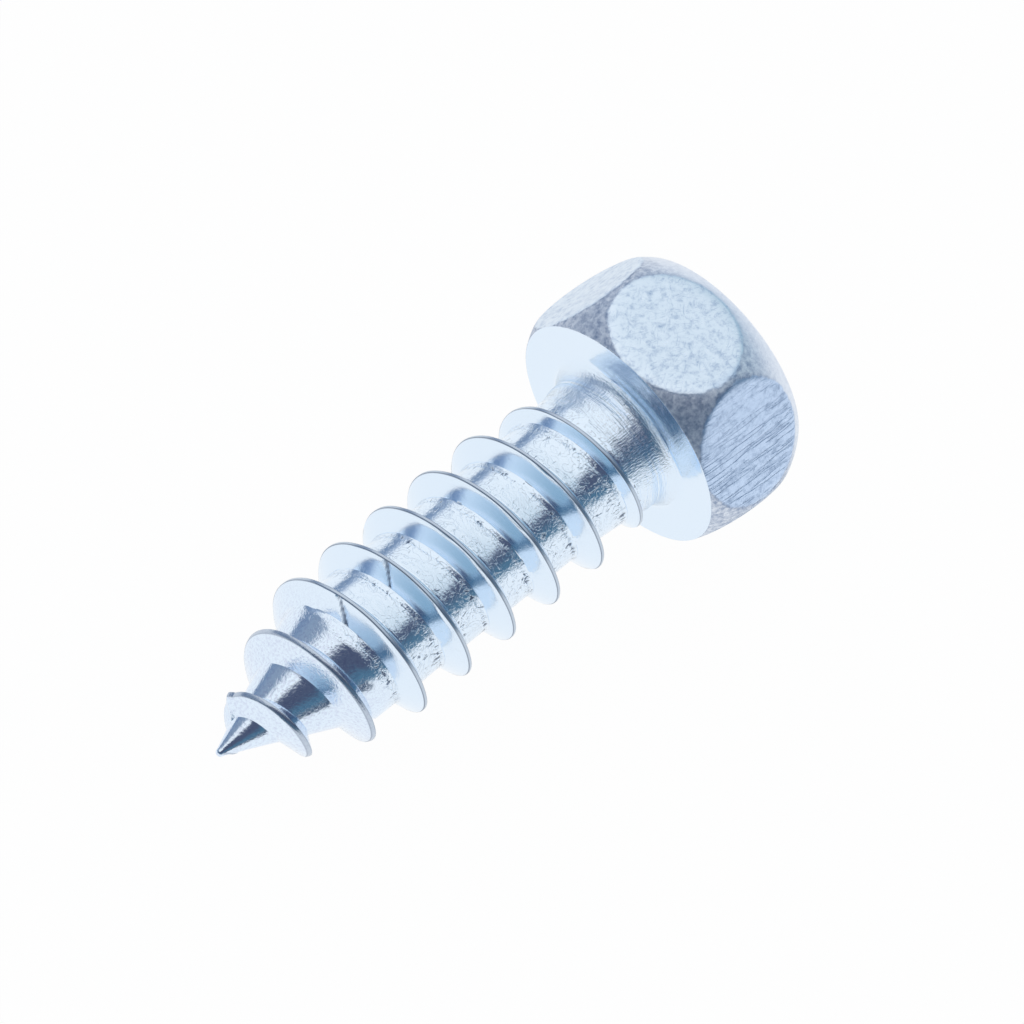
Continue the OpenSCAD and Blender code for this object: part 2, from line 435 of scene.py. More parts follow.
class ShankShape:
    """Neck, rolled thread and point, by angle about the axis and depth below the bearing face."""

    def __init__(self, shank, off_centre):
        self.sizes = shank
        self.off_centre = off_centre
        self.neck_r = shank.neck_d / 2
        self.core_r = shank.core_d / 2
        self.tip_r = shank.tip_d / 2
        self.rolled_r = self.neck_r - shank.rolled_step
        self.ridge = (shank.thread_d - shank.core_d) / 2
        self.run_out_start = shank.neck_length + shank.run_out_gap
        self.run_out_end = self.run_out_start + shank.run_out_length
        self.start = shank.neck_fillet + COLLAR_END
        self.end = shank.length - ROUND_SHARE * self.tip_r

    def core(self, depth):
        """Radius between the crests."""
        s = self.sizes
        step = share(depth, s.neck_length, s.neck_length + s.rolled_step)
        neck = self.neck_r - s.collar_step
        plain = neck + (self.rolled_r - neck) * step * step * (3 - 2 * step)
        run_out = share(depth, self.run_out_start, self.run_out_end)
        rolled = plain + (self.core_r - self.rolled_r) * run_out
        return min(rolled, self.tip_r + (s.length - depth) * math.tan(s.point_angle / 2))

    def height(self, depth):
        """Height of the thread above its core: low beside the neck, and full about a turn further."""
        s = self.sizes
        risen = self.run_out_start + s.first_rise
        grown = share(depth, risen, self.run_out_end) ** 3
        rise = share(depth, self.run_out_start, risen) * (s.first_height + (1 - s.first_height) * grown)
        return self.ridge * rise * share(s.length - depth, THREAD_END, s.point_fade)

    def bent(self, depth):
        """Shift of the section at a depth: off centre at the neck, true further on, bent at the point."""
        s = self.sizes
        off_until, true_from = OFF_CENTRE_DEPTHS
        bend_start, bend_end = BEND_DISTANCES
        lean = share(depth, true_from, off_until)
        shift = s.point_bend * share(depth, s.length - bend_start, s.length - bend_end)
        return (self.off_centre[0] * lean + shift * math.cos(s.bend_angle),
                self.off_centre[1] * lean + shift * math.sin(s.bend_angle))

    def crest(self, angle, turn):
        """Depth of the crest at an angle."""
        s = self.sizes
        return HELIX_START + s.pitch * (turn - (angle + s.thread_turn) / (2 * math.pi))

    def neck_end(self, angle):
        """Depth at which the brushed neck gives way to the rolled thread, before the first turn."""
        s = self.sizes
        first = self.run_out_start + (self.crest(angle, 0) - self.run_out_start) % s.pitch
        return min(s.neck_length + BRUSHED_REACH, first - BRUSHED_GAP)

    def nick(self, angle, turn, part):
        """How deep a point of the flank, a part of the way to its foot, lies in a nick: 1 in its middle."""
        deepest = 0.0
        for nicked_turn, crest_angle, crest_half, foot_angle, foot_half in FLANK_NICKS:
            if turn == nicked_turn:
                middle = crest_angle + (foot_angle - crest_angle) * part
                half = crest_half + (foot_half - crest_half) * part
                deepest = max(deepest, 1 - abs(math.degrees(angle) - middle) / half)
        return deepest

    def turn_points(self, angle, turn):
        """Section of one turn, from land to land: (depth, radius, fold, crest edge)."""
        s = self.sizes
        crest = self.crest(angle, turn)
        ridge = self.height(crest)
        corner_turn, corner_angle, corner_half = LAST_CORNER
        if turn == corner_turn:
            ridge += CORNER_HEIGHT * max(0.0, 1 - abs(math.degrees(angle) - corner_angle) / corner_half)
        head_side = max(ridge * math.tan(s.head_flank), LEAST_FLANK)
        tip_side = max(ridge * math.tan(s.tip_flank), LEAST_FLANK)
        half = (s.crest_width + (s.point_crest - s.crest_width) * share(crest, *WIDER_CREST)) / 2
        head_land = s.pitch / 2 - half - head_side
        tip_land = s.pitch / 2 - half - tip_side
        spot = Vector((math.cos(angle), math.sin(angle), crest / MM)) * WAVE_RATE
        wave = CREST_WAVE * noise.noise(spot) * share(ridge, 0.0, WAVING_RIDGE)
        lip = s.lip_height * share(noise.noise(spot * LIP_RATE + LIP_SPOT), -0.9, 0.0)
        # Rolling folds the surface beside the lip, more on one side, and not on the cone
        unfolded, all_folded = FOLD_DISTANCES
        rolled = share(crest, s.length - unfolded, s.length - all_folded)
        lip *= share(ridge, *LIP_RIDGES) * rolled
        folded = rolled * (1 + FOLD_EXTRA * max(0.0, math.cos(angle - s.fold_side)) ** FOLD_FOCUS)
        # The foot of a flank is soft over a share of its width, which leaves a trace on the lands
        foot = 0.02
        land = ridge * foot ** 2 * 0.2
        # Millimetres in which the foot ends on the lip
        foot_end = 0.015
        # Fold of the flanks and the crest, which are almost smooth
        smooth = 0.05

        def flank_height(part):
            return ridge * (1 - part + math.hypot(1 - part, foot)) / 2

        points = []
        # Land and flank on the side of the head: share of the width, and fold
        for part, fold in ((1.0, 0.25), (0.62, 0.3), (0.32, 0.4), (0.12, 0.5)):
            points.append((-half - head_side - head_land * part, land, fold, 0.0))
        for part in (1.06, 0.95, 0.82, 0.6, 0.35, 0.1):
            points.append((-half - head_side * part, flank_height(part), smooth, 0.0))
        # Crest: share of its half width, drop as a share of its height, and how dull it is
        edge, flat = 1.0 - 0.4 * share(crest, *CLEANER_CREST), 0.4
        for part, drop, dull in (
                (-1.0, 0.02, edge), (-0.6, 0.0, flat), (0.0, 0.0, flat), (0.6, 0.0, flat),
                (1.0, 0.02, edge)):
            points.append((half * part, ridge * (1 - drop) + wave, smooth, dull))
        # Flank on the side of the tip, with its nicks
        for part in (0.05, 0.25, 0.45, 0.65, 0.82, 0.95):
            nick = self.nick(angle, turn, part)
            points.append((
                half + tip_side * part - NICK_DEPTH * nick, flank_height(part), smooth, min(1.0, 2 * nick)))
        # The lip slopes down to a thin crevice: millimetres past the flank, share of the lip, and fold
        for past, left, fold in (
                (0.0, 1.0, 0.2), (0.05, 0.7, 0.4), (0.1, 0.35, 0.6), (0.14, 0.0, 0.9), (0.155, -0.2, 1.0),
                (0.18, 0.0, 0.9)):
            rise = ridge * foot / 2 * math.exp(-past / foot_end) + lip * left
            points.append((half + tip_side + past * MM, rise, fold, 0.0))
        for part, fold in ((0.5, 0.5), (0.75, 0.3)):
            points.append((half + tip_side + tip_land * part, land, fold, 0.0))

        section = []
        for offset, rise, fold, on_edge in points:
            depth = min(self.end, max(self.start, crest + offset))
            if depth in (self.start, self.end):
                rise = 0.0
            section.append((depth, self.core(depth) + rise, fold * folded, on_edge))
        return section


class ScrewMesh:
    """Gathers points and faces, row by row, in the screw's own frame: the axis is Z and the head is up."""

    def __init__(self):
        self.points = []
        self.faces = []
        self.zones = []
        self.values = {"cut": [], "drag": [], "groove": [], "fold": [], "crest": []}

    def point(self, radius, angle, z, shift, **values):
        """Adds a point, with its values for the materials, and returns its number."""
        x = radius * math.cos(angle) + shift[0]
        y = radius * math.sin(angle) + shift[1]
        self.points.append(Vector((x, y, z)))
        for key, numbers in self.values.items():
            numbers.append(values.get(key, 0.0))
        return len(self.points) - 1

    def ring(self, radius, z, shift):
        """Adds a closed row of points about the axis and returns their numbers."""
        return [self.point(radius, angle, z, shift) for angle in ANGLES]

    def face(self, zone, *corners):
        """Adds a face."""
        self.faces.append(corners)
        self.zones.append(zone)

    def strip(self, zone, upper, lower):
        """Joins two closed rows of points."""
        for i in range(COLUMNS):
            j = (i + 1) % COLUMNS
            self.face(zone, upper[i], upper[j], lower[j], lower[i])

    def cap(self, zone, middle, row):
        """Closes a row with a fan to one point."""
        for i in range(COLUMNS):
            self.face(zone, middle, row[i], row[(i + 1) % COLUMNS])

    def object(self, name, materials, matrix):
        """The finished mesh object, moved by a matrix, with doubled points joined."""
        mesh = bpy.data.meshes.new(name)
        mesh.from_pydata([matrix @ point for point in self.points], [], self.faces)
        mesh.polygons.foreach_set("material_index", self.zones)
        # The materials need each point's place in the screw's own frame
        place = mesh.attributes.new("place", "FLOAT_VECTOR", "POINT")
        place.data.foreach_set("vector", [number for point in self.points for number in point])
        for key, numbers in self.values.items():
            mesh.attributes.new(key, "FLOAT", "POINT").data.foreach_set("value", numbers)
        for material in materials:
            mesh.materials.append(material)
        joined = bmesh.new()
        joined.from_mesh(mesh)
        bmesh.ops.remove_doubles(joined, verts=joined.verts, dist=JOIN_DISTANCE)
        bmesh.ops.recalc_face_normals(joined, faces=joined.faces)
        joined.to_mesh(mesh)
        joined.free()
        mesh.shade_smooth()
        mesh.set_sharp_from_angle(angle=SHARP_EDGE)
        piece = bpy.data.objects.new(name, mesh)
        bpy.context.scene.collection.objects.link(piece)
        return piece


def rest_matrix():
    """The screw's own frame as it lies on the floor, from the bearing face in the record."""
    bearing = next(m for m in frame["record"]["mounts"] if m["name"] == "bearing_face")
    axis = -Vector(bearing["axis"]).normalized()
    side = Vector((0.0, 1.0, 0.0))
    down = side.cross(axis)
    turn = Matrix((down, side, axis)).transposed()
    return Matrix.Translation(bearing["pos_m"]) @ turn.to_4x4()


def add_head(mesh, head, shift):
    """Adds the head, from the middle of its end to its bearing face, and returns its last row of points."""
    columns = [head.column(angle) for angle in ANGLES]
    last = None
    for row in range(1, len(columns[0])):
        ring = []
        for angle, column in zip(ANGLES, columns):
            radius, z = column[row]
            # One flat was dragged along the trimming die, which left grooves that get deeper across it
            drag = share(math.cos(angle - DRAGGED_FLAT), *DRAGGED_EDGE)
            groove = drag * share(angle, *GROOVED)
            ring.append(mesh.point(
                radius, angle, z, shift, cut=head.cut(angle, z), drag=drag, groove=groove))
        if last is None:
            middle = mesh.point(0.0, 0.0, head.height, shift, cut=head.cut(0.0, head.height))
            mesh.cap(HEAD, middle, ring)
        else:
            mesh.strip(HEAD, last, ring)
        last = ring
    return last


def add_neck(mesh, head, shank, shift, last):
    """Adds the bearing face, the fillet and the edge of the collar below the last row of the head."""
    fillet = shank.sizes.neck_fillet
    rows = [(r, 0.0) for r in steps(head.bearing_r - RIM_EDGE, shank.neck_r + fillet, 12)]
    for turn in steps(0.0, math.pi / 2, 12)[1:]:
        rows.append((shank.neck_r + fillet * (1 - math.sin(turn)), -fillet * (1 - math.cos(turn))))
    for below, part in COLLAR_EDGE:
        rows.append((shank.neck_r - part * shank.sizes.collar_step, -fillet - below))
    rows.append((shank.core(shank.start), -shank.start))
    for radius, z in rows:
        ring = mesh.ring(radius, z, shift)
        # The first tenth of the fillet was pressed with the bearing face
        mesh.strip(BEARING if z > -0.1 * fillet else NECK, last, ring)
        last = ring


def add_thread(mesh, shank):
    """Adds the thread in rows that follow the helix, so that a full turn ends one turn further along."""
    turns = math.ceil((shank.sizes.length - HELIX_START) / shank.sizes.pitch) + SPARE_TURNS
    grid = []
    for angle in ANGLES:
        numbers = []
        for turn in range(turns):
            for depth, radius, fold, crest in shank.turn_points(angle, turn):
                shift = shank.bent(depth)
                numbers.append(mesh.point(radius, angle, -depth, shift, fold=fold, crest=crest))
        grid.append(numbers)
    per_turn = len(grid[0]) // turns
    for i in range(COLUMNS):
        here = grid[i]
        neck_end = shank.neck_end(ANGLES[i])
        for k in range(len(here) - 1):
            if i + 1 < COLUMNS:
                beside, below = grid[i + 1][k], grid[i + 1][k + 1]
            else:
                beside = grid[0][max(0, k - per_turn)]
                below = grid[0][max(0, k + 1 - per_turn)]
            zone = NECK if -mesh.points[here[k]].z < neck_end else THREAD
            mesh.face(zone, here[k], beside, below, here[k + 1])


def add_tip(mesh, shank):
    """Adds the blunt, rounded tip."""
    shift = shank.bent(shank.end)
    radius = shank.core(shank.end)
    last = mesh.ring(radius, -shank.end, shift)
    tip = shank.sizes.length + ROUND_REACH
    middle = mesh.point(0.0, 0.0, -tip, shift)
    for part in (0.95, 0.85, 0.7, 0.5, 0.25):
        depth = shank.end + (tip - shank.end) * math.sqrt(1 - part ** 2)
        ring = mesh.ring(radius * part, -depth, shift)
        mesh.strip(THREAD, last, ring)
        last = ring
    mesh.cap(THREAD, middle, last)


def screw_mesh(settings):
    """Points and faces of the whole screw, from the outer end of the head to the tip."""
    off, toward = settings.head.off_centre, settings.head.off_centre_angle
    shift = (off * math.cos(toward), off * math.sin(toward))
    head, shank = HeadShape(settings.head), ShankShape(settings.shank, shift)
    mesh = ScrewMesh()
    last = add_head(mesh, head, shift)
    add_neck(mesh, head, shank, shift, last)
    add_thread(mesh, shank)
    add_tip(mesh, shank)
    return mesh


def linear(hex_colour):
    """An sRGB hex value as linear red, green, blue and alpha."""
    parts = [int(hex_colour[i:i + 2], 16) / 255 for i in (1, 3, 5)]
    return [p / 12.92 if p <= 0.04045 else ((p + 0.055) / 1.055) ** 2.4 for p in parts] + [1.0]


def add(tree, kind, settings=(), inputs=(), output=0):
    """Adds a node with its settings, sets or links its inputs, and returns one of its outputs."""
    node = tree.nodes.new(kind)
    for name, value in dict(settings).items():
        setattr(node, name, value)
    for name, value in dict(inputs).items():
        if isinstance(value, bpy.types.NodeSocket):
            tree.links.new(value, node.inputs[name])
        else:
            node.inputs[name].default_value = value
    return node.outputs[output] if node.outputs else None


def new_material(name):
    """An empty material and its node tree."""
    material = bpy.data.materials.new(name)
    material.use_nodes = True
    material.node_tree.nodes.clear()
    return material, material.node_tree


def thin_lines(tree, pattern, middle, width):
    """Lines, 1 in their middle and 0 beside them, where a pattern passes a value."""
    centre = add(tree, "ShaderNodeMath", {"operation": "SUBTRACT"}, {0: pattern, 1: middle})
    away = add(tree, "ShaderNodeMath", {"operation": "ABSOLUTE"}, {0: centre})
    return add(tree, "ShaderNodeMapRange", SOFT, {
        "Value": away, "From Min": 0.0, "From Max": width, "To Min": 1.0, "To Max": 0.0})


def flat_look(tree, place, colours):
    """Shader of the trimmed flats: satin, with short scratches and, on one flat, long grooves."""
    drag = add(tree, "ShaderNodeAttribute", {"attribute_name": "drag"}, output="Fac")
    groove = add(tree, "ShaderNodeAttribute", {"attribute_name": "groove"}, output="Fac")
    scratches = None
    for turn, width, length in SCRATCHES:
        along = add(tree, "ShaderNodeMapping", SIZED, {
            "Vector": place, "Rotation": (math.radians(turn), math.radians(turn), 0.0),
            "Scale": (length * MM, width * MM, length * MM)})
        grain = add(tree, "ShaderNodeTexNoise", inputs={"Vector": along, "Scale": 1.0, "Detail": 1.0})
        line = thin_lines(tree, grain, 0.5, 0.045)
        # Scratches of each direction show in patches of their own
        patch_at = add(tree, "ShaderNodeMapping", SIZED, {
            "Vector": place, "Location": (turn * MM, 0.0, 0.0), "Scale": (0.26 * MM,) * 3})
        patch = add(tree, "ShaderNodeTexNoise", inputs={"Vector": patch_at, "Scale": 1.0, "Detail": 2.0})
        shown = add(tree, "ShaderNodeMapRange", SOFT, {"Value": patch, "From Min": 0.48, "From Max": 0.7})
        line = add(tree, "ShaderNodeMath", TIMES, {0: line, 1: shown})
        if scratches is None:
            scratches = line
        else:
            scratches = add(tree, "ShaderNodeMath", {"operation": "MAXIMUM"}, {0: scratches, 1: line})
    drawn_at = add(tree, "ShaderNodeMapping", SIZED, {
        "Vector": place, "Rotation": (math.radians(6.0), 0.0, 0.0),
        "Scale": (0.2 * MM, 0.2 * MM, 6.0 * MM)})
    drawn = add(tree, "ShaderNodeTexNoise", inputs={"Vector": drawn_at, "Scale": 1.0, "Detail": 2.0})
    grooved = add(tree, "ShaderNodeMath", TIMES, {0: thin_lines(tree, drawn, 0.5, 0.07), 1: groove})
    mottle_at = add(tree, "ShaderNodeMapping", SIZED, {"Vector": place, "Scale": (0.22 * MM,) * 3})
    mottle = add(tree, "ShaderNodeTexNoise", inputs={
        "Vector": mottle_at, "Scale": 1.0, "Detail": 5.0, "Roughness": 0.68})
    depth = add(tree, "ShaderNodeMath", TIMES_PLUS, {0: scratches, 1: -0.3, 2: mottle})
    depth = add(tree, "ShaderNodeMath", TIMES_PLUS, {0: grooved, 1: -0.9, 2: depth})
    drawn_out = add(tree, "ShaderNodeMath", TIMES, {0: drawn, 1: drag})
    depth = add(tree, "ShaderNodeMath", TIMES_PLUS, {0: drawn_out, 1: 1.2, 2: depth})
    normal = add(tree, "ShaderNodeBump", inputs={
        "Strength": 1.0, "Distance": 0.008 * MM, "Height": depth})
    zinc = add(tree, "ShaderNodeMix", BLEND, {
        0: drag, 6: linear(colours.zinc), 7: linear(colours.dragged)}, output=2)
    strong = add(tree, "ShaderNodeMapRange", inputs={"Value": drag, "To Min": 0.6, "To Max": 0.8})
    specks = add(tree, "ShaderNodeMapRange", SOFT, {
        "Value": mottle, "From Min": 0.46, "From Max": 0.72, "To Max": strong})
    marks = add(tree, "ShaderNodeMath", TIMES_PLUS, {0: scratches, 1: 0.5, 2: specks})
    marks = add(tree, "ShaderNodeMath", {"operation": "MULTIPLY_ADD", "use_clamp": True}, {
        0: grooved, 1: 0.6, 2: marks})
    tint = add(tree, "ShaderNodeMix", BLEND, {0: marks, 6: zinc, 7: linear(colours.scratch)}, output=2)
    roughness = add(tree, "ShaderNodeMapRange", inputs={
        "Value": mottle, "From Min": 0.3, "From Max": 0.7, "To Min": 0.26, "To Max": 0.42})
    return add(tree, "ShaderNodeBsdfPrincipled", inputs={
        "Base Color": tint, "Metallic": 1.0, "Roughness": roughness, "Normal": normal})


def forged_look(tree, place, level, colours):
    """Shader of the forged corners: a matte grain, grey beside the flats.

    Near the punched end it is lighter and smoother.
    """
    punched_most = 0.8
    grain_at = add(tree, "ShaderNodeMapping", SIZED, {"Vector": place, "Scale": (0.18 * MM,) * 3})
    grain = add(tree, "ShaderNodeTexNoise", inputs={
        "Vector": grain_at, "Scale": 1.0, "Detail": 5.0, "Roughness": 0.7})
    height = add(tree, "ShaderNodeSeparateXYZ", inputs={"Vector": place}, output="Z")
    punched = add(tree, "ShaderNodeMapRange", SOFT, {
        "Value": height, "From Min": 2.5 * MM, "From Max": 3.8 * MM, "To Max": punched_most})
    beside = add(tree, "ShaderNodeMapRange", SOFT, {
        "Value": level, "From Min": -0.1 * MM, "From Max": 0.0, "To Max": 0.18})
    dimmed = add(tree, "ShaderNodeMath", {"operation": "SUBTRACT"}, {0: grain, 1: beside})
    tone = add(tree, "ShaderNodeMapRange", inputs={"Value": dimmed, "From Min": 0.3, "From Max": 0.62})
    tint = add(tree, "ShaderNodeMix", BLEND, {
        0: tone, 6: linear(colours.forged_dark), 7: linear(colours.forged_light)}, output=2)
    tint = add(tree, "ShaderNodeMix", BLEND, {
        0: punched, 6: tint, 7: linear(colours.forged_light)}, output=2)
    normal = add(tree, "ShaderNodeBump", inputs={
        "Strength": 1.0, "Distance": 0.014 * MM, "Height": grain})
    roughness = add(tree, "ShaderNodeMapRange", inputs={
        "Value": punched, "From Max": punched_most, "To Min": 0.52, "To Max": 0.4})
    return add(tree, "ShaderNodeBsdfPrincipled", inputs={
        "Base Color": tint, "Metallic": 1.0, "Roughness": roughness, "Normal": normal})


def head_zinc(colours):
    """Zinc plate on the head: flats that a trimming die cut out of rounded, forged corners.

    The cut tore the metal a little, so each flat has a ragged edge.
    """
    material, tree = new_material("zinc_plate_forged_and_trimmed_head")
    place = add(tree, "ShaderNodeAttribute", {"attribute_name": "place"}, output="Vector")
    cut = add(tree, "ShaderNodeAttribute", {"attribute_name": "cut"}, output="Fac")
    tear_at = add(tree, "ShaderNodeMapping", SIZED, {"Vector": place, "Scale": (0.35 * MM,) * 3})
    tear = add(tree, "ShaderNodeTexNoise", inputs={
        "Vector": tear_at, "Scale": 1.0, "Detail": 5.0, "Roughness": 0.62})
    level = add(tree, "ShaderNodeMapRange", inputs={
        "Value": tear, "To Min": -0.08 * MM, "To Max": 0.08 * MM})
    ragged = add(tree, "ShaderNodeMath", {"operation": "ADD"}, {0: cut, 1: level})
    trimmed = add(tree, "ShaderNodeMapRange", SOFT, {
        "Value": ragged, "From Min": -0.055 * MM, "From Max": -0.005 * MM})
    both = add(tree, "ShaderNodeMixShader", inputs={
        0: trimmed, 1: forged_look(tree, place, ragged, colours), 2: flat_look(tree, place, colours)})
    add(tree, "ShaderNodeOutputMaterial", inputs={"Surface": both})
    return material


def bearing_zinc(colours):
    """Zinc plate on the bearing face.

    The heading die pressed it flat, so it is almost a mirror and shows a blue band of the neck.
    """
    material, tree = new_material("zinc_plate_pressed_bearing_face")
    place = add(tree, "ShaderNodeAttribute", {"attribute_name": "place"}, output="Vector")
    wave_at = add(tree, "ShaderNodeMapping", SIZED, {"Vector": place, "Scale": (0.8 * MM,) * 3})
    wave = add(tree, "ShaderNodeTexNoise", inputs={"Vector": wave_at, "Scale": 1.0, "Detail": 3.0})
    normal = add(tree, "ShaderNodeBump", inputs={
        "Strength": 1.0, "Distance": 0.012 * MM, "Height": wave})
    shader = add(tree, "ShaderNodeBsdfPrincipled", inputs={
        "Base Color": linear(colours.zinc), "Metallic": 1.0, "Roughness": 0.13, "Normal": normal})
    add(tree, "ShaderNodeOutputMaterial", inputs={"Surface": shader})
    return material


def neck_zinc(colours):
    """Zinc plate on the extruded neck.

    The die drew fine lines along the neck and the rolling dies brushed it around, so reflections are
    ragged.
    """
    material, tree = new_material("zinc_plate_extruded_neck")
    place = add(tree, "ShaderNodeAttribute", {"attribute_name": "place"}, output="Vector")
    along_at = add(tree, "ShaderNodeMapping", SIZED, {
        "Vector": place, "Scale": (0.05 * MM, 0.05 * MM, 0.25 * MM)})
    along = add(tree, "ShaderNodeTexNoise", inputs={"Vector": along_at, "Scale": 1.0, "Detail": 3.0})
    around_at = add(tree, "ShaderNodeMapping", SIZED, {
        "Vector": place, "Scale": (0.5 * MM, 0.5 * MM, 0.045 * MM)})
    around = add(tree, "ShaderNodeTexNoise", inputs={"Vector": around_at, "Scale": 1.0, "Detail": 3.0})
    lines = add(tree, "ShaderNodeMath", {"operation": "ADD"}, {0: along, 1: around})
    normal = add(tree, "ShaderNodeBump", inputs={
        "Strength": 1.0, "Distance": 0.018 * MM, "Height": lines})
    shader = add(tree, "ShaderNodeBsdfPrincipled", inputs={
        "Base Color": linear(colours.zinc), "Metallic": 1.0, "Roughness": 0.14, "Normal": normal})
    add(tree, "ShaderNodeOutputMaterial", inputs={"Surface": shader})
    return material


def thread_zinc(colours):
    """Zinc plate on the rolled thread.

    The flanks are smooth and bright, and the crests are dull where their plating is thin. The lands
    between the flanks are crinkled where rolling folded the surface.
    """
    material, tree = new_material("zinc_plate_rolled_thread")
    place = add(tree, "ShaderNodeAttribute", {"attribute_name": "place"}, output="Vector")
    folded = add(tree, "ShaderNodeAttribute", {"attribute_name": "fold"}, output="Fac")
    crest = add(tree, "ShaderNodeAttribute", {"attribute_name": "crest"}, output="Fac")
    # Crinkles with thin cracks, and streaks from the slip of the dies
    crinkle_at = add(tree, "ShaderNodeMapping", SIZED, {"Vector": place, "Scale": (0.11 * MM,) * 3})
    crinkle = add(tree, "ShaderNodeTexNoise", inputs={
        "Vector": crinkle_at, "Scale": 1.0, "Detail": 4.0, "Distortion": 0.6})
    fold_at = add(tree, "ShaderNodeMapping", SIZED, {
        "Vector": place, "Scale": (0.45 * MM, 0.45 * MM, 0.3 * MM)})
    fold = add(tree, "ShaderNodeTexNoise", inputs={
        "Vector": fold_at, "Scale": 1.0, "Detail": 2.0, "Distortion": 1.5})
    crack = thin_lines(tree, fold, 0.52, 0.02)
    depth = add(tree, "ShaderNodeMath", TIMES_PLUS, {0: crack, 1: -0.42, 2: crinkle})
    depth = add(tree, "ShaderNodeMath", TIMES, {0: depth, 1: folded})
    streak_at = add(tree, "ShaderNodeMapping", SIZED, {
        "Vector": place, "Scale": (0.8 * MM, 0.8 * MM, 0.05 * MM)})
    streak = add(tree, "ShaderNodeTexNoise", inputs={"Vector": streak_at, "Scale": 1.0, "Detail": 2.0})
    streaked = add(tree, "ShaderNodeMath", TIMES, {0: streak, 1: folded})
    depth = add(tree, "ShaderNodeMath", TIMES_PLUS, {0: streaked, 1: 0.4, 2: depth})
    # Small nicks where the surface is folded
    nick_at = add(tree, "ShaderNodeMapping", SIZED, {
        "Vector": place, "Scale": (0.13 * MM, 0.13 * MM, 0.3 * MM)})
    nick = add(tree, "ShaderNodeTexNoise", inputs={
        "Vector": nick_at, "Scale": 1.0, "Detail": 3.0, "Distortion": 0.6})
    nick = add(tree, "ShaderNodeMath", TIMES_PLUS, {0: folded, 1: 0.05, 2: nick})
    nicked = add(tree, "ShaderNodeMapRange", SOFT, {"Value": nick, "From Min": 0.64, "From Max": 0.75})
    nicked = add(tree, "ShaderNodeMath", {"operation": "MULTIPLY", "use_clamp": True}, {
        0: nicked, 1: folded})
    depth = add(tree, "ShaderNodeMath", TIMES_PLUS, {0: nicked, 1: -0.8, 2: depth})
    # The cone keeps a mottled surface, with grains of about 0.09 mm
    z = add(tree, "ShaderNodeSeparateXYZ", inputs={"Vector": place}, output="Z")
    on_cone = add(tree, "ShaderNodeMapRange", SOFT, {
        "Value": z, "From Min": -10.8 * MM, "From Max": -12.2 * MM})
    mottle_at = add(tree, "ShaderNodeMapping", SIZED, {"Vector": place, "Scale": (0.09 * MM,) * 3})
    mottle = add(tree, "ShaderNodeTexNoise", inputs={"Vector": mottle_at, "Scale": 1.0, "Detail": 5.0})
    grains = add(tree, "ShaderNodeMapRange", SOFT, {"Value": mottle, "From Min": 0.4, "From Max": 0.7})
    mottled = add(tree, "ShaderNodeMath", TIMES, {0: grains, 1: on_cone})
    depth = add(tree, "ShaderNodeMath", TIMES_PLUS, {0: mottled, 1: -0.12, 2: depth})
    normal = add(tree, "ShaderNodeBump", inputs={
        "Strength": 1.0, "Distance": 0.018 * MM, "Height": depth})
    plate = add(tree, "ShaderNodeMix", BLEND, {
        0: nicked, 6: linear(colours.zinc), 7: linear(colours.nick)}, output=2)
    plate = add(tree, "ShaderNodeMix", BLEND, {0: mottled, 6: plate, 7: linear(colours.mottle)}, output=2)
    tint = add(tree, "ShaderNodeMix", BLEND, {0: crest, 6: plate, 7: linear(colours.crest)}, output=2)
    roughness = add(tree, "ShaderNodeMapRange", inputs={"Value": crest, "To Min": 0.14, "To Max": 0.5})
    shader = add(tree, "ShaderNodeBsdfPrincipled", inputs={
        "Base Color": tint, "Metallic": 1.0, "Roughness": roughness, "Normal": normal})
    add(tree, "ShaderNodeOutputMaterial", inputs={"Surface": shader})
    return material


class SCREW_OT_build_screw(bpy.types.Operator):
    """Build the zinc plated screw on the floor"""

    bl_idname = "screw.build_screw"
    bl_label = "Build Screw"
    bl_options = {"REGISTER", "UNDO"}

    def execute(self, context):
        settings = context.scene.tapping_screw
        # In the order of the zones
        makers = (head_zinc, bearing_zinc, neck_zinc, thread_zinc)
        materials = [maker(settings.colours) for maker in makers]
        piece = screw_mesh(settings).object("plated_screw", materials, rest_matrix())
        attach(piece, "root")
        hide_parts("screw")
        return {"FINISHED"}


def edge_plane(heading, lean):
    """Normal of the plane through the screw and a straight edge of the roof."""
    return -math.sin(heading), math.cos(heading), -math.tan(lean)


